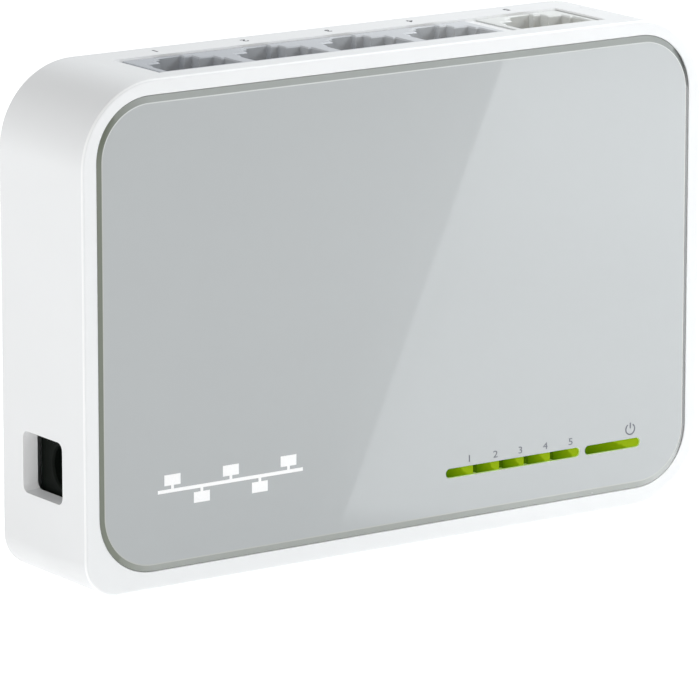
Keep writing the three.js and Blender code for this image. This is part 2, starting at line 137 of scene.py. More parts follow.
VENT = dict(half_width=0.8, half_length=8.0, pitch=3.6, per_row=9, rows=(22.0, 48.0))
COVER_SCREWS = [(-43.5, 38.0), (43.5, 38.0)]
BOARD_SCREWS = [(-43.5, 52.0), (43.5, 22.0)]
POST_RADIUS = 3.0
BOSS_RADIUS = 4.0
PILOT_RADIUS = 1.5
PILOT_DEEP = 8.0
SCREW = dict(head=2.4, head_high=0.9, crest=1.2, root=0.96, point=1.2, pitch=0.8)
CROSS_LONG, CROSS_WIDE, CROSS_DEEP = 1.3, 0.28, 0.55

# Where the numbers stand: over the lights on the panel, and behind the ports on the top
LIGHT_LABEL_X = [11.38, 15.87, 20.18, 24.52, 28.95]
LIGHT_LABEL_Z = 11.0
PORT_LABEL_X = [-28.6, -13.95, -0.05, 13.9, 30.55]
PORT_LABEL_Y = 7.1

# ---- Meshes ----

def new_object(name, vertices, faces, slots=(0,), materials=()):
    """An object from vertices in millimetres; slots gives each face's material slot, or one for all."""
    mesh = bpy.data.meshes.new(name)
    for material in materials:
        mesh.materials.append(material)
    mesh.from_pydata([Vector(v) * MM for v in vertices], [], faces)
    indices = list(slots) if len(slots) == len(faces) else [slots[0]] * len(faces)
    mesh.polygons.foreach_set("material_index", indices)
    tidy = bmesh.new()
    tidy.from_mesh(mesh)
    bmesh.ops.recalc_face_normals(tidy, faces=tidy.faces)
    tidy.to_mesh(mesh)
    tidy.free()
    piece = bpy.data.objects.new(name, mesh)
    bpy.context.scene.collection.objects.link(piece)
    return piece


def loft(name, loops, slot_of_band=None, materials=()):
    """A closed skin over loops of equally many points, with a flat cap on the first and the last."""
    count = len(loops[0])
    vertices = [p for loop in loops for p in loop]
    faces = [list(range(count))[::-1], [(len(loops) - 1) * count + i for i in range(count)]]
    slots = [0, slot_of_band(len(loops) - 1) if slot_of_band else 0]
    for k in range(len(loops) - 1):
        for i in range(count):
            j = (i + 1) % count
            faces.append([k * count + i, k * count + j, (k + 1) * count + j, (k + 1) * count + i])
            slots.append(slot_of_band(k) if slot_of_band else 0)
    return new_object(name, vertices, faces, slots, materials)


def rounded_loop(left, right, low, high, radius, y, steps=ARC_STEPS, lower_left=None):
    """A rounded rectangle in the plane y, anticlockwise as seen from the front."""
    tight = radius if lower_left is None else lower_left
    corners = [(right - radius, high - radius, radius), (left + radius, high - radius, radius),
               (left + tight, low + tight, tight), (right - radius, low + radius, radius)]
    points = []
    for quarter, (cx, cz, bend) in enumerate(corners):
        for k in range(steps + 1):
            angle = math.radians(90 * (quarter + k / steps))
            points.append((cx + bend * math.cos(angle), y, cz + bend * math.sin(angle)))
    return points


def turn_y_to_x(points):
    """Points of a shape facing -Y turned to face -X, with their first axis along Y."""
    return [(y, x, z) for x, y, z in points]


def quarter_round(steps=5):
    """(sine, cosine) pairs from 0 to 90 degrees."""
    return [(math.sin(math.radians(90 * k / steps)), math.cos(math.radians(90 * k / steps)))
            for k in range(steps + 1)]


def plug(left, right, low, high, radius, y0, y1, steps=6, name="cutter"):
    """A straight rounded-rectangle block along Y, for cutting unless it has another name."""
    loops = [rounded_loop(left, right, low, high, radius, y, steps) for y in (y0, y1)]
    return loft(name, loops)


def block(x0, x1, y0, y1, z0, z1, name="cutter"):
    """A box, for cutting unless it has another name."""
    corners = [(x, y, z) for x in (x0, x1) for y in (y0, y1) for z in (z0, z1)]
    faces = [(0, 1, 3, 2), (4, 6, 7, 5), (0, 4, 5, 1), (2, 3, 7, 6), (0, 2, 6, 4), (1, 5, 7, 3)]
    return new_object(name, corners, faces)


def prism_x(points, x0, x1, name):
    """An outline of (y, z) points run along X."""
    return loft(name, [[(x, y, z) for y, z in points] for x in (x0, x1)])


def turned(name, profile, centre, axis, steps):
    """Revolves (radius, along) points about an axis through centre, with a flat cap at each end."""
    turn = Vector((0, 0, 1)).rotation_difference(Vector(axis)).to_matrix()
    loops = []
    for radius, along in profile:
        ring = []
        for k in range(steps):
            angle = 2 * math.pi * k / steps
            point = Vector((radius * math.cos(angle), radius * math.sin(angle), along))
            ring.append(tuple(turn @ point + Vector(centre)))
        loops.append(ring)
    return loft(name, loops)


def tube(name, path, radius, sides=8):
    """A round bar along points in one plane x = constant, with flat ends."""
    loops = []
    for k, point in enumerate(path):
        before = Vector(path[max(k - 1, 0)])
        after = Vector(path[min(k + 1, len(path) - 1)])
        along = (after - before).normalized()
        across = Vector((1, 0, 0))
        up = along.cross(across)
        ring = []
        for i in range(sides):
            angle = 2 * math.pi * (i + 0.5) / sides
            ring.append(tuple(Vector(point) + radius * (math.cos(angle) * across + math.sin(angle) * up)))
        loops.append(ring)
    return loft(name, loops)


def join(name, objects):
    """One object holding all the meshes of several, which go. They share one material list."""
    whole = bmesh.new()
    for piece in objects:
        whole.from_mesh(piece.data)
    mesh = bpy.data.meshes.new(name)
    for material in objects[0].data.materials:
        mesh.materials.append(material)
    whole.to_mesh(mesh)
    whole.free()
    for piece in objects:
        bpy.data.objects.remove(piece)
    joined = bpy.data.objects.new(name, mesh)
    bpy.context.scene.collection.objects.link(joined)
    return joined


def apply_modifiers(piece):
    graph = bpy.context.evaluated_depsgraph_get()
    mesh = bpy.data.meshes.new_from_object(piece.evaluated_get(graph))
    piece.modifiers.clear()
    piece.data = mesh


def carve(piece, cutters, operation="DIFFERENCE"):
    """Cuts the solids away from a piece, or joins them to it with operation UNION."""
    for cutter in cutters:
        cut = piece.modifiers.new("carve", "BOOLEAN")
        cut.operation = operation
        cut.solver = "EXACT"
        cut.object = cutter
    apply_modifiers(piece)
    for cutter in cutters:
        bpy.data.objects.remove(cutter)
    return piece


def paint(cutter, materials, sides, flats=None):
    """Has a cutter leave faces of the carved piece's materials: sides, or flats on floors and roofs."""
    for material in materials:
        cutter.data.materials.append(material)
    for face in cutter.data.polygons:
        lies_flat = abs(face.normal.z) > 0.9
        face.material_index = materials.index(flats if flats and lies_flat else sides)
    return cutter


def soften(piece, width, angle=35):
    """Rounds the sharp edges by width millimetres and shades the rest smooth."""
    if width:
        rounding = piece.modifiers.new("rounding", "BEVEL")
        rounding.width = width * MM
        rounding.segments = 2
        rounding.limit_method = "ANGLE"
        rounding.angle_limit = math.radians(angle)
        rounding.miter_outer = "MITER_ARC"
        rounding.use_clamp_overlap = True
        apply_modifiers(piece)
    piece.data.shade_smooth()
    piece.data.set_sharp_from_angle(angle=math.radians(angle))
    # Large flat faces keep their own normal, and the small faces beside them do the turning.
    normals = piece.modifiers.new("normals", "WEIGHTED_NORMAL")
    normals.keep_sharp = True
    normals.weight = 100
    apply_modifiers(piece)
    return piece


def place(piece, material, slot, *nodes, body=BODY):
    """Gives a piece its material unless it has some, and its body, and hides the CAD nodes it stands for."""
    if not piece.data.materials:
        piece.data.materials.append(material)
    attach(piece, body)
    if nodes:
        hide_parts(*nodes)
    return piece

# ---- Materials ----

class Shader:
    """A node tree with one Principled shader and short calls to add procedural detail."""

    def __init__(self, name, **sockets):
        self.material = bpy.data.materials.new(name)
        self.material.use_nodes = True
        self.nodes = self.material.node_tree.nodes
        self.links = self.material.node_tree.links
        self.surface = self.nodes["Principled BSDF"]
        for label, value in sockets.items():
            self.surface.inputs[label.replace("_", " ")].default_value = value
        self.where = self.nodes.new("ShaderNodeTexCoord")

    def noise(self, scale, detail=2.0):
        node = self.nodes.new("ShaderNodeTexNoise")
        node.inputs["Scale"].default_value = scale
        node.inputs["Detail"].default_value = detail
        self.links.new(self.where.outputs["Object"], node.inputs["Vector"])
        return node.outputs["Fac"]

    def along(self, axis, source="Object"):
        """One axis of a texture coordinate."""
        node = self.nodes.new("ShaderNodeSeparateXYZ")
        self.links.new(self.where.outputs[source], node.inputs["Vector"])
        return node.outputs[axis]

    def calculate(self, operation, *values):
        """The result of a math node. Each value is a number or a socket."""
        node = self.nodes.new("ShaderNodeMath")
        node.operation = operation
        for socket, value in zip(node.inputs, values):
            if isinstance(value, float):
                socket.default_value = value
            else:
                self.links.new(value, socket)
        return node.outputs["Value"]

    def fit(self, value, low, high, to_low=0.0, to_high=1.0):
        """A value that runs from low to high, made to run from to_low to to_high."""
        node = self.nodes.new("ShaderNodeMapRange")
        node.inputs["From Min"].default_value = low
        node.inputs["From Max"].default_value = high
        node.inputs["To Min"].default_value = to_low
        node.inputs["To Max"].default_value = to_high
        self.links.new(value, node.inputs["Value"])
        return node.outputs["Result"]

    def ramp(self, factor, stops):
        """A colour from (position, colour) stops."""
        node = self.nodes.new("ShaderNodeValToRGB")
        ramp = node.color_ramp
        while len(ramp.elements) < len(stops):
            ramp.elements.new(0.5)
        for element, (position, color) in zip(ramp.elements, stops):
            element.position = position
            element.color = (*color, 1.0)
        self.links.new(factor, node.inputs["Fac"])
        return node.outputs["Color"]

    def drive(self, socket, value):
        self.links.new(value, self.surface.inputs[socket])

    def tint(self, color, scale, spread):
        """Colour that drifts by spread either way, in patches of about 1/scale metres."""
        darker = [c * (1 - spread) for c in color]
        lighter = [min(c * (1 + spread), 1) for c in color]
        self.drive("Base Color", self.ramp(self.noise(scale), [(0.3, darker), (0.7, lighter)]))

    def vary_roughness(self, low, high, scale):
        self.drive("Roughness", self.fit(self.noise(scale, 3.0), 0.0, 1.0, low, high))

    def glow(self, color):
        self.surface.inputs["Emission Color"].default_value = (*color, 1)

    def grain(self, scale, height):
        """Fine moulded grain, height in metres."""
        node = self.nodes.new("ShaderNodeBump")
        node.inputs["Strength"].default_value = 1.0
        node.inputs["Distance"].default_value = height
        self.links.new(self.noise(scale, 3.0), node.inputs["Height"])
        self.drive("Normal", node.outputs["Normal"])


def white_plastic():
    s = Shader("white_plastic", Roughness=0.45, Specular_IOR_Level=0.45)
    s.tint((0.82, 0.83, 0.835), 60, 0.008)
    s.vary_roughness(0.40, 0.50, 900)
    s.grain(5000, 0.000002)
    return s.material


def bright_white_plastic():
    """The casing's plastic painted brighter: a painted highlight along the middle of the rim's outer
    rounding, and painted light on the sides of the recesses, where shade falls.
    """
    s = Shader("bright_white_plastic", Roughness=0.3, Specular_IOR_Level=0.5)
    s.tint((0.94, 0.945, 0.945), 60, 0.008)
    return s.material


def panel_face():
    s = Shader("panel_face", Roughness=0.18, Coat_Weight=1.0, Coat_Roughness=0.02, Coat_IOR=1.5)
    s.tint((0.385, 0.405, 0.41), 40, 0.006)
    s.vary_roughness(0.16, 0.22, 700)
    return s.material


def panel_bevel():
    """The clear edge over the grey, darker than the face. On top of that its colour follows the way it
    faces, as painted shade: dark where it faces left or right, less so below.
    """
    s = Shader("panel_bevel", Roughness=0.25, Coat_Weight=0.6, Coat_Roughness=0.03, Coat_IOR=1.5)
    down = s.calculate("MINIMUM", s.along("Z", "Normal"), 0.0)
    facing = s.calculate("MULTIPLY_ADD", down, 0.4, s.along("X", "Normal"))
    s.drive("Base Color", s.ramp(s.fit(facing, -0.34, 0.34), [
        (0.0, (0.150, 0.168, 0.128)),
        (0.5, (0.35, 0.37, 0.355)),
        (0.8, (0.30, 0.32, 0.31)),
        (1.0, (0.03, 0.033, 0.031)),
    ]))
    s.vary_roughness(0.2, 0.3, 900)
    return s.material


def panel_lip():
    """The lip inside the bevel, painted lighter than the face as a highlight: lightest where it faces up,
    dullest where it faces down, as painted light and shade.
    """
    s = Shader("panel_lip", Roughness=0.2, Coat_Weight=1.0, Coat_Roughness=0.03, Coat_IOR=1.5)
    s.drive("Base Color", s.ramp(s.fit(s.along("Z", "Normal"), -0.1, 0.1), [
        (0.0, (0.42, 0.43, 0.405)),
        (0.5, (0.44, 0.45, 0.43)),
        (1.0, (0.66, 0.68, 0.68)),
    ]))
    return s.material


def white_ink():
    s = Shader("white_ink", Roughness=0.5)
    s.tint((0.93, 0.93, 0.93), 3000, 0.02)
    return s.material


def dull_ink(name, color):
    s = Shader(name, Roughness=0.6)
    s.tint(color, 4000, 0.12)
    return s.material


def clear_green():
    """The guides are lit from behind: deep green at the left of each, yellow-green at the right."""
    s = Shader("clear_green", Roughness=0.25, IOR=1.2, Specular_IOR_Level=0.0, Emission_Strength=0.22)
    slanted = s.calculate("MULTIPLY_ADD", s.along("Z", "Generated"), 0.25, s.along("X", "Generated"))
    cloudy = s.calculate("MULTIPLY_ADD", s.noise(1400, 3.0), 0.2, slanted)
    color = s.ramp(cloudy, [
        (0.15, (0.045, 0.105, 0.0005)),
        (0.50, (0.085, 0.165, 0.001)),
        (0.85, (0.14, 0.23, 0.002)),
        (11 / 12, (0.23, 0.34, 0.008)),
    ])
    s.drive("Base Color", color)
    s.drive("Emission Color", color)
    return s.material


def dark_green():
    """The webs between the segments of the light guide."""
    s = Shader("dark_green", Roughness=0.3, Specular_IOR_Level=0.0, Emission_Strength=0.1)
    s.tint((0.045, 0.105, 0.0005), 2500, 0.15)
    s.glow((0.05, 0.1, 0.0))
    return s.material


def lit_edge():
    """The cut edge of the panel in its light slots, which glows with the light of the guides."""
    s = Shader("lit_edge", Roughness=0.4, Specular_IOR_Level=0.2, Emission_Strength=0.5)
    s.tint((0.45, 0.58, 0.22), 2500, 0.05)
    s.glow((0.42, 0.6, 0.15))
    return s.material


def jack_plastic(name, left, right):
    """Light grey plastic, painted lighter from left, at the first port, to right, at the fifth: painted
    light that grows toward the right.
    """
    s = Shader(name, Roughness=0.5)
    across = s.fit(s.along("X"), PORT_X[0] * MM, PORT_X[-1] * MM)
    s.drive("Base Color", s.ramp(across, [(0.0, left), (1.0, right)]))
    s.vary_roughness(0.45, 0.6, 1500)
    s.grain(4000, 0.000003)
    return s.material


def black_plastic():
    s = Shader("black_plastic", Roughness=0.38, Specular_IOR_Level=0.03)
    s.tint((0.006, 0.008, 0.0065), 400, 0.15)
    s.vary_roughness(0.3, 0.45, 1500)
    s.grain(3500, 0.000003)
    return s.material


def dark_plastic():
    s = Shader("dark_plastic", Roughness=0.6)
    s.tint((0.035, 0.038, 0.042), 400, 0.1)
    s.grain(3000, 0.000004)
    return s.material


def foot_rubber():
    s = Shader("foot_rubber", Roughness=0.85, Specular_IOR_Level=0.3)
    s.tint((0.30, 0.31, 0.32), 500, 0.08)
    s.vary_roughness(0.75, 0.92, 1200)
    s.grain(2500, 0.00001)
    return s.material


def gold():
    s = Shader("gold_plating", Metallic=1.0, Roughness=0.22)
    s.tint((0.86, 0.62, 0.26), 1500, 0.06)
    s.vary_roughness(0.16, 0.3, 3000)
    return s.material


def bright_metal(name, color):
    s = Shader(name, Metallic=1.0, Roughness=0.3)
    s.tint(color, 1200, 0.06)
    s.vary_roughness(0.22, 0.4, 2500)
    return s.material


def solder_resist():
    """Green board with slightly lighter tracks in a brick pattern over its face."""
    s = Shader("solder_resist", Roughness=0.35, Coat_Weight=0.4, Coat_Roughness=0.2)
    tracks = s.nodes.new("ShaderNodeTexBrick")
    tracks.inputs["Scale"].default_value = 160
    tracks.inputs["Mortar Size"].default_value = 0.06
    tracks.inputs["Color1"].default_value = (0.012, 0.11, 0.035, 1)
    tracks.inputs["Color2"].default_value = (0.015, 0.13, 0.045, 1)
    tracks.inputs["Mortar"].default_value = (0.03, 0.22, 0.08, 1)
    upright = s.nodes.new("ShaderNodeMapping")
    upright.inputs["Rotation"].default_value = (math.radians(90), 0, 0)
    s.links.new(s.where.outputs["Object"], upright.inputs["Vector"])
    s.links.new(upright.outputs["Vector"], tracks.inputs["Vector"])
    s.drive("Base Color", tracks.outputs["Color"])
    s.grain(1500, 0.00001)
    return s.material


def led_body():
    s = Shader("led_body", Roughness=0.3, Emission_Strength=0.6)
    s.tint((0.6, 0.75, 0.25), 800, 0.1)
    s.glow((0.3, 0.6, 0.05))
    return s.material


WHITE = white_plastic()
WHITE_PAINTED_LIGHT = bright_white_plastic()
PANEL = panel_face()
PANEL_EDGE = panel_bevel()
PANEL_LIP = panel_lip()
WHITE_PRINT = white_ink()
GREY_PRINT = dull_ink("grey_ink", (0.13, 0.135, 0.16))
DARK_PRINT = dull_ink("dark_ink", (0.06, 0.06, 0.075))
GREEN = clear_green()
GREEN_WEB = dark_green()
LIT_EDGE = lit_edge()
# Painted light: both housings are painted lighter toward the fifth port, and the single one lighter still.
GANG_HOUSING_PAINTED_LIGHT = jack_plastic("jack_plastic", (0.46, 0.48, 0.51), (0.65, 0.67, 0.69))
SINGLE_HOUSING_PAINTED_LIGHT = jack_plastic("single_housing_painted_light", (0.46, 0.48, 0.49), (0.735, 0.75, 0.735))
BLACK = black_plastic()
DARK = dark_plastic()
RUBBER = foot_rubber()
GOLD = gold()
STEEL = bright_metal("plated_steel", (0.62, 0.63, 0.65))
CAN = bright_metal("bright_can", (0.78, 0.79, 0.80))
BOARD = solder_resist()
LED = led_body()

# ---- Casing ----

SHELL_MATERIALS = (WHITE, WHITE_PAINTED_LIGHT)
PANEL_MATERIALS = (PANEL, PANEL_EDGE, PANEL_LIP, LIT_EDGE)


def shell_loop(inset, y, lower_left=CORNER):
    """The shell's outline, moved in by inset."""
    inset = inset + INK
    return rounded_loop(-HALF_WIDTH + inset, HALF_WIDTH - inset, inset, HEIGHT - inset, CORNER - inset, y,
                        lower_left=lower_left - inset)


def pocket_loop(ease, y):
    """The panel's pocket, wider by ease all round; the panel's own outline is smaller by PANEL_FIT."""
    grow = PANEL_FIT + ease
    return rounded_loop(PANEL_LOW.x - grow, PANEL_HIGH.x + grow, PANEL_LOW.z - grow, PANEL_HIGH.z + grow,
                        PANEL_CORNER + grow, y)


def post(place_xz, top):
    """A screw post that grows out of the front wall, with a chamfered top."""
    x, z = place_xz
    root = FRONT_WALL_BACK - 0.5
    chamfer = 0.3
    profile = [(POST_RADIUS, root), (POST_RADIUS, top - chamfer), (POST_RADIUS - chamfer, top)]
    return turned("post", profile, (x, 0, z), (0, 1, 0), steps=32)


def pilot(place_xz, top):
    """The hole for a screw in a post."""
    x, z = place_xz
    profile = [(PILOT_RADIUS, top - PILOT_DEEP), (PILOT_RADIUS, top + 1)]
    return turned("cutter", profile, (x, 0, z), (0, 1, 0), steps=24)


def power_recess_cutter(past):
    """The mouth of the power recess, narrower inside than outside."""
    front, back, bottom, top = POWER_RECESS
    loops = []
    for x in (-HALF_WIDTH - past, -HALF_WIDTH + WALL + past):
        inset = POWER_RECESS_DRAFT * (x + HALF_WIDTH)
        mouth = rounded_loop(front + inset, back - inset, bottom + inset, top - inset,
                             POWER_RECESS_CORNER, x, 6)
        loops.append(turn_y_to_x(mouth))
    return loft("cutter", loops)


def make_shell_skin():
    """The shell without its posts and openings: from the pocket's floor over the rim and back inside."""
    loops = [pocket_loop(0, POCKET_FLOOR)]
    loops += [pocket_loop(POCKET_EASE * (1 - c), RIM_FRONT + POCKET_EASE * (1 - s))
              for s, c in quarter_round(3)]
    rounding = len(loops)
    loops += [shell_loop(FRONT_EDGE * (1 - s), RIM_FRONT + FRONT_EDGE * (1 - c), TIGHT_CORNER)
              for s, c in quarter_round()]
    loops += [shell_loop(REAR_EDGE * (1 - c), SHELL_BACK - REAR_EDGE * (1 - s), TIGHT_CORNER)
              for s, c in quarter_round()]
    loops += [shell_loop(REBATE_WALL, SHELL_BACK), shell_loop(REBATE_WALL, REBATE_FLOOR)]
    loops += [shell_loop(WALL, REBATE_FLOOR), shell_loop(WALL, FRONT_WALL_BACK)]
    crest = (rounding + 2, rounding + 3)  # the middle bands of the rim's outer rounding, which carry a painted highlight

    def slot_of_band(band):
        return SHELL_MATERIALS.index(WHITE_PAINTED_LIGHT if band in crest else WHITE)

    return loft("shell", loops, slot_of_band, SHELL_MATERIALS)


def make_shell():
    """The shell: a ring with a front wall, screw posts, the two recesses and openings for the lights."""
    shell = make_shell_skin()
    posts = [(at, COVER_LOW.y - GAP) for at in COVER_SCREWS]
    posts += [(at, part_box("pcb")[0].y / MM - GAP) for at in BOARD_SCREWS]
    carve(shell, [post(at, top) for at, top in posts], "UNION")

    past = 2.0
    hair = 0.02  # keeps the walls of two cutters apart
    cutters = [pilot(at, top) for at, top in posts]
    recess = block(RECESS_LEFT, RECESS_RIGHT, RECESS_FRONT, RECESS_BACK, RECESS_FLOOR, HEIGHT + past)
    # The recess's sides get the white with painted light, brighter than the shade that falls there.
    cutters.append(paint(recess, SHELL_MATERIALS, WHITE_PAINTED_LIGHT, flats=WHITE))
    for node in ("rj45_gang_housing", "rj45_single_housing"):
        low, high = box_mm(node)
        cutters.append(block(low.x - GAP, high.x + GAP, RECESS_FRONT + hair, RECESS_BACK - hair,
                             HEIGHT - WALL - past, RECESS_FLOOR + 0.2))
    for x0, x1 in (PORT_SLOT, POWER_SLOT):
        cutters.append(plug(x0 - GAP, x1 + GAP, SLOT_BOTTOM - GAP, SLOT_TOP + GAP, LIGHT_HOLE_CORNER,
                            POCKET_FLOOR - 1, FRONT_WALL_BACK + 1))
    # The power recess's sides also get the white with painted light against their shade.
    cutters.append(paint(power_recess_cutter(past), SHELL_MATERIALS, WHITE_PAINTED_LIGHT, flats=WHITE))
    return soften(carve(shell, cutters), width=0.12)


def make_panel():
    """The panel: a plateau with a lip, painted lighter as a highlight, inside a bevelled edge, and two slots
    for the lights.
    """
    def outline(share, y, more=0.0):
        """The panel's edge moved in by a share of the bevel's width, and by more."""
        side, tall = share * BEVEL_SIDE + more, share * BEVEL_TALL + more
        return rounded_loop(PANEL_LOW.x + side, PANEL_HIGH.x - side, PANEL_LOW.z + tall, PANEL_HIGH.z - tall,
                            PANEL_CORNER - (side + tall) / 2, y)

    plateau = PANEL_LOW.y + INK
    loops = [outline(0, PANEL_HIGH.y), outline(0, plateau + BEVEL_DEEP), outline(1, plateau + LIP_DEEP)]
    for k in range(1, LIP_STEPS + 1):
        t = k / LIP_STEPS
        loops.append(outline(1, plateau + LIP_DEEP * (1 - t) ** 2, LIP_WIDE * t))
    # From the edge inward: the side, the bevel, the bands of the lip and the plateau.
    bands = [PANEL, PANEL_EDGE] + [PANEL_LIP] * LIP_STEPS + [PANEL]
    panel = loft("panel", loops, lambda band: PANEL_MATERIALS.index(bands[band]), PANEL_MATERIALS)
    windows = [plug(x0, x1, SLOT_BOTTOM, SLOT_TOP, SLOT_CORNER, PANEL_LOW.y - 1, PANEL_HIGH.y + 1, 10)
               for x0, x1 in (PORT_SLOT, POWER_SLOT)]
    carve(panel, [paint(window, PANEL_MATERIALS, LIT_EDGE) for window in windows])
    return soften(panel, width=0.04, angle=50)


def make_cover():
    """The back cover: a plate with rounded edges, seats for the feet, vents and counterbored screw holes."""
    face = COVER_HIGH.y
    inside = REBATE_FLOOR + GAP
    edge = 0.35

    def outline(inset, y):
        return rounded_loop(COVER_LOW.x + inset, COVER_HIGH.x - inset, COVER_LOW.z + inset,
                            COVER_HIGH.z - inset, COVER_CORNER - inset, y)

    def round_cutter(profile, x, z, steps):
        return turned("cutter", profile, (x, 0, z), (0, 1, 0), steps)

    loops = [outline(0, inside)]
    loops += [outline(edge * (1 - c), face - edge * (1 - s)) for s, c in quarter_round(4)]
    cover = loft("cover", loops)
    boss = [(BOSS_RADIUS, COVER_LOW.y), (BOSS_RADIUS, inside + 0.3)]
    carve(cover, [turned("boss", boss, (x, 0, z), (0, 1, 0), steps=40) for x, z in COVER_SCREWS], "UNION")

    seat = face - SCREW["head_high"] - GAP
    head = SCREW["head"] + GAP
    hole = [(PILOT_RADIUS, COVER_LOW.y - 1), (PILOT_RADIUS, seat), (head, seat + 0.01), (head, face + 1)]
    cutters = [round_cutter(hole, x, z, 40) for x, z in COVER_SCREWS]
    for i in range(1, 5):
        low, high = box_mm(f"rubber_foot_{i}")
        foot = (low + high) / 2
        radius = (high - foot).x + GAP
        cutters.append(round_cutter([(radius, low.y - GAP), (radius, face + 1)], foot.x, foot.z, 56))
    half = VENT["half_width"]
    for z in VENT["rows"]:
        for i in range(VENT["per_row"]):
            x = (i - (VENT["per_row"] - 1) / 2) * VENT["pitch"]
            cutters.append(plug(x - half, x + half, z - VENT["half_length"], z + VENT["half_length"],
                                half - 0.01, inside - 1, face + 1))
    return soften(carve(cover, cutters), width=0.15)


def make_foot(i):
    """A rubber foot: a low drum with a domed edge and a shallow dimple in its sole."""
    low, high = box_mm(f"rubber_foot_{i}")
    middle = (low + high) / 2
    radius = high.x - middle.x
    edge = 0.3
    profile = [(radius, low.y)]
    profile += [(radius - edge * (1 - c), high.y - edge * (1 - s)) for s, c in quarter_round(4)]
    profile += [(radius * 0.72, high.y), (radius * 0.66, high.y - 0.12), (radius * 0.2, high.y - 0.16)]
    return turned(f"foot_{i}", profile, (middle.x, 0, middle.z), (0, 1, 0), steps=56)


def make_screw(node):
    """A pan-head screw with a cross recess and a threaded shank."""
    low, high = box_mm(node)
    middle = (low + high) / 2
    top = high.y
    under = top - SCREW["head_high"]
    head, crest, root, pitch = SCREW["head"], SCREW["crest"], SCREW["root"], SCREW["pitch"]
    start = low.y + SCREW["point"]
    plain = 0.4  # shank without thread under the head
    profile = [(0.2, low.y), (root, start)]
    for k in range(int((under - start - plain) / pitch)):
        turn = start + k * pitch
        profile += [(root, turn + 0.2 * pitch), (crest, turn + 0.5 * pitch), (root, turn + 0.8 * pitch)]
    profile += [(root, under - 0.05), (head, under)]
    profile += [(head - 0.6 * (1 - c), top - 0.45 * (1 - s)) for s, c in quarter_round(4)]
    screw = turned(node + "_detailed", profile, (middle.x, 0, middle.z), (0, 1, 0), steps=32)
    arms = []
    for long, wide in ((CROSS_LONG, CROSS_WIDE), (CROSS_WIDE, CROSS_LONG)):
        loops = []
        for y, size in ((top - CROSS_DEEP, 0.7), (top + 0.1, 1.0)):
            loops.append([(middle.x + side_x * long * size, y, middle.z + side_z * wide * size)
                          for side_x, side_z in ((1, 1), (-1, 1), (-1, -1), (1, -1))])
        arms.append(loft("cutter", loops))
    return soften(carve(screw, arms), width=0, angle=40)


place(make_shell(), WHITE, "white_plastic", "body_shell")
place(make_panel(), PANEL, "grey_panel", "front_panel")
place(make_cover(), WHITE, "white_plastic", "base_cover")
for i in range(1, 5):
    place(soften(make_foot(i), width=0), RUBBER, "foot_rubber", f"rubber_foot_{i}")
for node in ("cover_screw_1", "cover_screw_2", "pcb_screw_1", "pcb_screw_2"):
    place(make_screw(node), STEEL, "steel", node)

# ---- Network jacks ----

def comb_front():
    """The front side of a port below the wires' bar, from left to right: ribs stand between the wires."""
    half = CAVITY_STEPS[0][0]
    points = [(-half, CAVITY_FRONT)]
    for i in range(WIRE_COUNT + 1):
        x = (i - WIRE_COUNT / 2) * WIRE_PITCH
        points += [(x - COMB_HALF, CAVITY_FRONT), (x - COMB_HALF, COMB_BACK),
                   (x + COMB_HALF, COMB_BACK), (x + COMB_HALF, CAVITY_FRONT)]
    return points + [(half, CAVITY_FRONT)]


def port_sides(grow):
    """The right side of a port from front to back as (half width, y), grown by grow."""
    sides = []
    start = CAVITY_FRONT - grow
    for half, end in CAVITY_STEPS:
        sides += [(half + grow, start), (half + grow, end + grow)]
        start = end + grow
    return sides


def mirrored(right_side):
    """Both sides of an outline, from the points of its right side."""
    return right_side + [(-x, y) for x, y in reversed(right_side)]


def port_cutters(centre, top):
    """The opening of a port: a chamfered mouth, and below the wires' bar a pit with the comb left in it."""
    def level(outline, z):
        return [(centre + x, y, z) for x, y in outline]

    past = 1.0
    sides, wider = mirrored(port_sides(0)), mirrored(port_sides(PORT_CHAMFER))
    mouth = loft("cutter", [level(sides, COMB_TOP), level(sides, top - PORT_CHAMFER), level(wider, top),
                            level(wider, top + past)])
    lower = comb_front() + mirrored(port_sides(0)[1:])
    pit = loft("cutter", [level(lower, CAVITY_FLOOR), level(lower, COMB_TOP + past)])
    return [mouth, pit]


def make_housing(node, centres):
    """A block of jacks with chamfered mouths, combs for the wires and a heel that stands on the board."""
    low, high = box_mm(node)
    top = high.z
    body_back = RECESS_BACK - 0.04  # just clear of the recess's rear wall
    outline = [(low.y, low.z), (high.y, low.z), (high.y, HEEL_TOP), (body_back, HEEL_TOP), (body_back, top),
               (low.y, top)]
    housing = prism_x(outline, low.x, high.x, node + "_detailed")
    cutters = [cutter for centre in centres for cutter in port_cutters(centre, top)]
    return soften(carve(housing, cutters), width=0.04)


def wire_points(x):
    """The path of one wire, with its bend rounded by a quadratic curve."""
    root, bend, tail = [Vector((x, y, z)) for y, z in WIRE_PATH]
    before = bend + (root - bend).normalized() * WIRE_BEND
    after = bend + (tail - bend).normalized() * WIRE_BEND
    steps = 6
    curve = []
    for k in range(steps + 1):
        t = k / steps
        curve.append(before * (1 - t) ** 2 + 2 * bend * t * (1 - t) + after * t ** 2)
    return [root] + curve + [tail]


def make_contacts(i, centre):
    """The sprung wires of a port and the bar that holds them."""
    wires = []
    for k in range(WIRE_COUNT):
        x = centre + (k - (WIRE_COUNT - 1) / 2) * WIRE_PITCH
        wires.append(tube("wire", wire_points(x), WIRE_RADIUS))
    low, high = box_mm(f"port_{i}_contacts")
    root_y, root_z = WIRE_PATH[0]
    bar = plug(low.x, high.x, root_z - BAR_HIGH / 2, root_z + BAR_HIGH / 2, 0.1,
               root_y - BAR_DEEP / 2, root_y + BAR_DEEP / 2, 3, "bar")
    return carve(bar, [join("wires", wires)], "UNION")


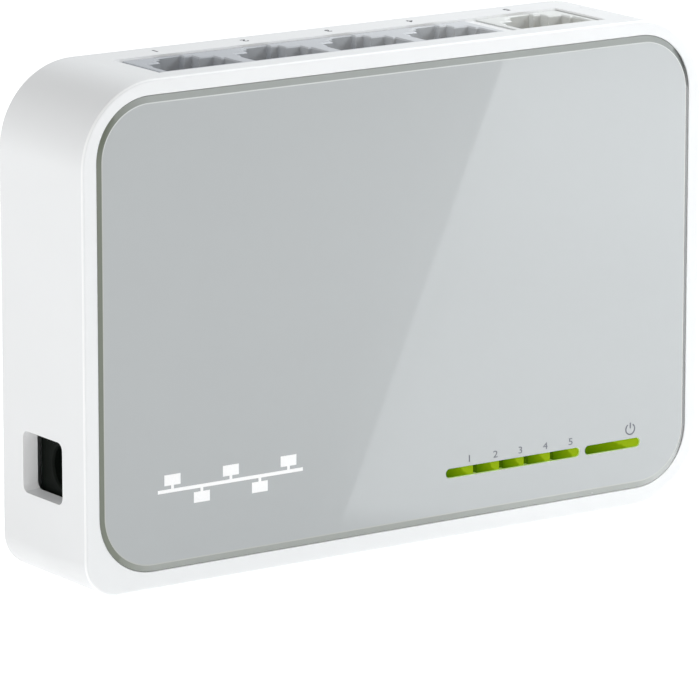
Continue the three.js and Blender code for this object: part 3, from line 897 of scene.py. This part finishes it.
for node, centres, plastic in (("rj45_gang_housing", PORT_X[:GANG_PORTS], GANG_HOUSING_PAINTED_LIGHT),
                               ("rj45_single_housing", PORT_X[GANG_PORTS:], SINGLE_HOUSING_PAINTED_LIGHT)):
    place(make_housing(node, centres), plastic, "jack_plastic", node)
for i, centre in enumerate(PORT_X, 1):
    contacts = soften(make_contacts(i, centre), width=0, angle=40)
    contacts.name = f"port_{i}_wires"
    place(contacts, GOLD, "contact_metal", f"port_{i}_contacts", body=f"port_{i}_spring_wires")

# ---- Power jack ----

def turned_left(name, profile, steps):
    """Revolves a profile about the power jack's axis, measured from X = 0 toward the left."""
    return turned(name, profile, (0, POWER_Y, POWER_Z), (-1, 0, 0), steps)


def make_power_housing():
    """A black block with a collar round its bore, a chamfered mouth and a slot for the spring."""
    low, high = box_mm("dc_jack_housing")
    mouth = -low.x
    body = block(low.x + POWER_COLLAR["proud"], high.x, low.y, high.y, low.z, high.z, "dc_jack_body")
    radius, edge = POWER_COLLAR["radius"], POWER_COLLAR["chamfer"]
    collar = [(radius, mouth - 1.0), (radius, mouth - edge), (radius - edge, mouth)]
    carve(body, [turned_left("collar", collar, 56)], "UNION")
    inner = -POWER_BORE_END
    chamfer = 0.25
    wide = POWER_BORE + chamfer
    bore = turned_left("cutter", [(POWER_BORE, inner), (POWER_BORE, mouth - chamfer), (wide, mouth),
                                  (wide, mouth + 1)], 56)
    pin_hole = turned_left("cutter", [(POWER_PIN["hole"], -high.x - 1), (POWER_PIN["hole"], inner + 1)], 32)
    leaf_slot = block(LEAF_SLOT["left"], LEAF_SLOT["right"], POWER_Y, LEAF_SLOT["back"],
                      POWER_Z - LEAF_SLOT["half_high"], POWER_Z + LEAF_SLOT["half_high"])
    return soften(carve(body, [bore, pin_hole, leaf_slot]), width=0.12)


def make_power_pin():
    """The centre pin: a round tip, a plain shank and a flange behind the jack."""
    low, high = box_mm("dc_jack_pin")
    radius, flange = POWER_PIN["radius"], POWER_PIN["flange"]
    tip, end = -low.x, -high.x
    front = end + POWER_PIN["flange_long"]
    profile = [(flange - 0.1, end), (flange, end + 0.1), (flange, front), (radius, front)]
    profile += [(max(radius * c, 0.05), tip - radius + radius * s) for s, c in quarter_round(6)]
    return turned_left("dc_pin", profile, 40)


place(make_power_housing(), BLACK, "black_plastic", "dc_jack_housing")
place(soften(make_power_pin(), width=0), STEEL, "steel", "dc_jack_pin")

# ---- Lights and printing ----

def make_guide(i, span, slot):
    """The stretch of a light guide between two places in its slot."""
    low, high = box_mm(f"led_lens_{i}")
    bar = plug(slot[0] + GUIDE_FIT, slot[1] - GUIDE_FIT, SLOT_BOTTOM + GUIDE_FIT, SLOT_TOP - GUIDE_FIT,
               SLOT_CORNER - GUIDE_FIT, low.y, high.y, 8, f"guide_{i}")
    keep = block(*span, low.y - 1, high.y + 1, low.z - 1, high.z + 1)
    carve(bar, [keep], "INTERSECT")
    return soften(bar, width=0.1, angle=50)


def make_web(i, x0, x1):
    """A dark web of the guide's material between two segments, set back from their faces."""
    low, high = box_mm(f"led_lens_{i}")
    web = plug(x0 + 0.04, x1 - 0.04, low.z + 0.1, high.z - 0.1, 0.08, low.y + 0.12, low.y + 1.6, 2,
               f"guide_web_{i}")
    return soften(web, width=0)


def flat_ribbon(name, points, width):
    """A printed line of even width along (x, z) points, with square ends, drawn on the panel."""
    loops = []
    half = width / 2
    front, back = PANEL_LOW.y, PANEL_LOW.y + PRINT_DEPTH
    for k, point in enumerate(points):
        before = Vector(points[max(k - 1, 0)])
        after = Vector(points[min(k + 1, len(points) - 1)])
        along = (after - before).normalized()
        side = Vector((-along.y, along.x)) * half
        a, b = Vector(point) + side, Vector(point) - side
        loops.append([(a.x, front, a.y), (b.x, front, b.y), (b.x, back, b.y), (a.x, back, a.y)])
    return loft(name, loops)


def arc(cx, cz, radius, start, end, steps=24):
    """(x, z) points round a circle, angles in degrees anticlockwise from +X."""
    angles = [math.radians(start + (end - start) * k / steps) for k in range(steps + 1)]
    return [(cx + radius * math.cos(a), cz + radius * math.sin(a)) for a in angles]


def numeral(name, text, centre, height, weight=0.0, stretch=1.0, facing_up=False):
    """A printed numeral: height and centre in millimetres, on the panel or, facing up, on the top."""
    curve = bpy.data.curves.new(name, "FONT")
    curve.body = text
    curve.offset = weight
    curve.extrude = 0.5
    source = bpy.data.objects.new(name, curve)
    bpy.context.scene.collection.objects.link(source)
    mesh = bpy.data.meshes.new_from_object(source.evaluated_get(bpy.context.evaluated_depsgraph_get()))
    bpy.data.objects.remove(source)
    xs = [v.co.x for v in mesh.vertices]
    ys = [v.co.y for v in mesh.vertices]
    scale = height / (max(ys) - min(ys))
    middle = Vector(((max(xs) + min(xs)) / 2, (max(ys) + min(ys)) / 2, 0))
    # On the top a numeral is read from behind, on the panel from the front.
    turn = Matrix.Rotation(math.pi, 4, "Z") if facing_up else Matrix.Rotation(math.pi / 2, 4, "X")
    size = Matrix.Diagonal((scale * stretch, scale, PRINT_DEPTH, 1))
    put = Matrix.Scale(MM, 4) @ Matrix.Translation(centre)
    mesh.transform(put @ turn @ size @ Matrix.Translation(-middle))
    weld = bmesh.new()
    weld.from_mesh(mesh)
    bmesh.ops.remove_doubles(weld, verts=weld.verts, dist=1e-7)
    weld.to_mesh(mesh)
    weld.free()
    piece = bpy.data.objects.new(name, mesh)
    bpy.context.scene.collection.objects.link(piece)
    return piece


for i, span in enumerate(SEGMENTS, 1):
    place(make_guide(i, span, PORT_SLOT), GREEN, "light_guide", f"led_lens_{i}")
for i in range(1, len(SEGMENTS)):
    place(make_web(i, SEGMENTS[i - 1][1], SEGMENTS[i][0]), GREEN_WEB, "light_guide")
place(make_guide("power", POWER_SLOT, POWER_SLOT), GREEN, "light_guide", "led_lens_power")

for i, x in enumerate(LIGHT_LABEL_X, 1):
    spot = (x, PANEL_LOW.y + PRINT_DEPTH / 2, LIGHT_LABEL_Z)
    label = numeral(f"light_number_{i}", str(i), spot, height=0.98, stretch=1.25)
    place(label, GREY_PRINT, "grey_panel")
for i, x in enumerate(PORT_LABEL_X, 1):
    spot = (x, PORT_LABEL_Y, HEIGHT - PRINT_DEPTH / 2)
    label = numeral(f"port_number_{i}", str(i), spot, height=1.35, weight=0.03, facing_up=True)
    place(label, DARK_PRINT, "white_plastic")


def make_power_symbol(x=39.5, z=11.48, radius=0.78, width=0.2):
    """A ring with a gap at its top and a bar in the gap."""
    ring = flat_ribbon("ring", arc(x, z - 0.1, radius, 125, 415), width)
    bar = flat_ribbon("bar", [(x, z), (x, z + radius + 0.05)], width)
    return join("power_symbol", [ring, bar])


def make_network_symbol(left=-40.3, right=-16.7, middle=13.45, sites=5):
    """A plain drawing of a network: a line with sites on it, above and below in turn."""
    pieces = [flat_ribbon("bus", [(left, middle), (right, middle)], 0.5)]
    pitch = (right - left) / sites
    half_wide, high = 1.3, 1.5
    for k in range(sites):
        x = left + pitch * (k + 0.5)
        way = 1 if k % 2 == 0 else -1
        stem_end = middle + way * 0.75
        site = stem_end + way * high / 2
        pieces.append(flat_ribbon("stem", [(x, middle + way * 0.26), (x, stem_end)], 0.45))
        pieces.append(flat_ribbon("site", [(x - half_wide, site), (x + half_wide, site)], high))
    return join("network_symbol", pieces)


place(make_power_symbol(), GREY_PRINT, "grey_panel")
place(make_network_symbol(), WHITE_PRINT, "grey_panel")

# ---- CAD nodes that keep their shape ----

KEPT = {
    BOARD: ["pcb"],
    BLACK: ["switch_chip", "regulator", "inductor", "transformer_1", "transformer_2"],
    CAN: ["crystal", "capacitor_1", "capacitor_2", "capacitor_3"],
    STEEL: ["dc_jack_spring"],
    DARK: ["led_baffle"],
    LED: ["led_1", "led_2", "led_3", "led_4", "led_5", "led_power"],
}
for material, nodes in KEPT.items():
    for node in nodes:
        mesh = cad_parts[node].data
        mesh.materials.clear()
        mesh.materials.append(material)

# ---- Camera, light and floor ----

# Millimetres and degrees; the place and the lens were found by fitting the outline in the photograph.
CAMERA_PLACE = (-470.65, -679.4, 213.35)
CAMERA_DOWN, CAMERA_RIGHT = 12.777, 34.64
CAMERA_LENS = 312.9
SKY = 0.456               # light from all round
FLOOR_GLOW = 0.655        # the floor's own light, with which it looks pure white
NEAR_GLOW = 0.55          # less near the object, where it would light the lower edges too much
NEAR, FAR = 0.06, 0.30    # metres from the middle, between which the one becomes the other
FLOOR_HALF = 4000.0
CARD_START = Vector((-3.9, -20.8))
CARD_END = Vector((250.0, -328.2))
CARD_WIDTH = 300.0
CARD_HIGH = 1.0           # above the floor
CARD_GLOW = 1.1
CARD_REACH = 350.0        # how far along the card its brightness changes
CARD_FADE = 14.0 / CARD_REACH
CARD_PROFILE = [(0.0, 0.0), (CARD_FADE, 0.95), (0.5, 1.06), (1.0, 1.75)]
WHITE_LIGHT = (1.0, 1.0, 1.0)
COOL_LIGHT = (0.95, 0.98, 1.0)


def make_camera():
    data = bpy.data.cameras.new("camera")
    data.sensor_width = 36.0
    data.lens = CAMERA_LENS
    data.clip_start = 0.01
    data.clip_end = 100.0
    camera = bpy.data.objects.new("camera", data)
    camera.location = Vector(CAMERA_PLACE) * MM
    camera.rotation_euler = (math.radians(90 - CAMERA_DOWN), 0, math.radians(-CAMERA_RIGHT))
    bpy.context.scene.collection.objects.link(camera)
    bpy.context.scene.camera = camera


def area_light(name, spot, aim, size, power, color=WHITE_LIGHT):
    """A square light; its place, its aim and its size are in metres."""
    data = bpy.data.lights.new(name, "AREA")
    data.size = size
    data.energy = power
    data.color = color
    light = bpy.data.objects.new(name, data)
    light.location = spot
    light.rotation_euler = (Vector(aim) - Vector(spot)).to_track_quat("-Z", "Y").to_euler()
    bpy.context.scene.collection.objects.link(light)
    light.visible_camera = False


def make_world():
    world = bpy.data.worlds.new("studio")
    bpy.context.scene.world = world
    world.use_nodes = True
    background = world.node_tree.nodes["Background"]
    background.inputs["Color"].default_value = (*WHITE_LIGHT, 1)
    background.inputs["Strength"].default_value = SKY


def make_floor():
    floor = block(-FLOOR_HALF, FLOOR_HALF, -FLOOR_HALF, FLOOR_HALF, -20, 0, name="floor")
    s = Shader("floor", Roughness=0.8, Specular_IOR_Level=0.0)
    s.tint((0.8, 0.8, 0.8), 8, 0.01)
    s.glow(WHITE_LIGHT)
    distance = s.nodes.new("ShaderNodeVectorMath")
    distance.operation = "LENGTH"
    s.links.new(s.where.outputs["Object"], distance.inputs[0])
    s.drive("Emission Strength", s.fit(distance.outputs["Value"], NEAR, FAR, NEAR_GLOW, FLOOR_GLOW))
    floor.data.materials.append(s.material)


def card_glow(along):
    """Light that grows along the card. The card has no other surface and lets everything through."""
    s = Shader("card_glow")
    s.nodes.remove(s.surface)
    travel = s.nodes.new("ShaderNodeVectorMath")
    travel.operation = "DOT_PRODUCT"
    travel.inputs[1].default_value = (along.x / MM / CARD_REACH, along.y / MM / CARD_REACH, 0)
    s.links.new(s.where.outputs["Object"], travel.inputs[0])
    share = s.calculate("SUBTRACT", travel.outputs["Value"], CARD_START.dot(along) / CARD_REACH)
    level = s.ramp(share, [(position, (level, level, level)) for position, level in CARD_PROFILE])
    light = s.nodes.new("ShaderNodeEmission")
    light.inputs["Color"].default_value = (0.94, 0.975, 1.0, 1)
    s.links.new(s.calculate("MULTIPLY", level, CARD_GLOW), light.inputs["Strength"])
    clear = s.nodes.new("ShaderNodeBsdfTransparent")
    both = s.nodes.new("ShaderNodeAddShader")
    s.links.new(light.outputs["Emission"], both.inputs[0])
    s.links.new(clear.outputs["BSDF"], both.inputs[1])
    s.links.new(both.outputs["Shader"], s.nodes["Material Output"].inputs["Surface"])
    return s.material


def make_bounce_card():
    """A bright card on the floor, right of a line that the glossy panel mirrors. Only reflections see it."""
    along = (CARD_END - CARD_START).normalized()
    across = Vector((-along.y, along.x)) * CARD_WIDTH
    corners = [CARD_START, CARD_START + across, CARD_END + across, CARD_END]
    card = new_object("bounce_card", [(c.x, c.y, CARD_HIGH) for c in corners], [(0, 1, 2, 3)])
    card.data.materials.append(card_glow(along))
    card.visible_camera = False
    card.visible_diffuse = False
    card.visible_shadow = False


make_camera()
make_world()
make_floor()
make_bounce_card()
area_light("key", (0.30, -0.08, 0.31), aim=(0, 0, 0.05), size=0.15, power=1.2, color=COOL_LIGHT)
area_light("corner", (-0.75, -0.60, 0.30), aim=(0, 0, 0.04), size=0.4, power=1.2)
area_light("left_back", (-0.85, 0.35, 0.50), aim=(0, 0, 0.04), size=0.5, power=1.05)
area_light("top_back", (0.18, 0.30, 0.50), aim=(0.03, 0, 0.07), size=0.25, power=0.42,
           color=(0.96, 0.98, 1.0))
bpy.context.scene.view_settings.view_transform = "Standard"
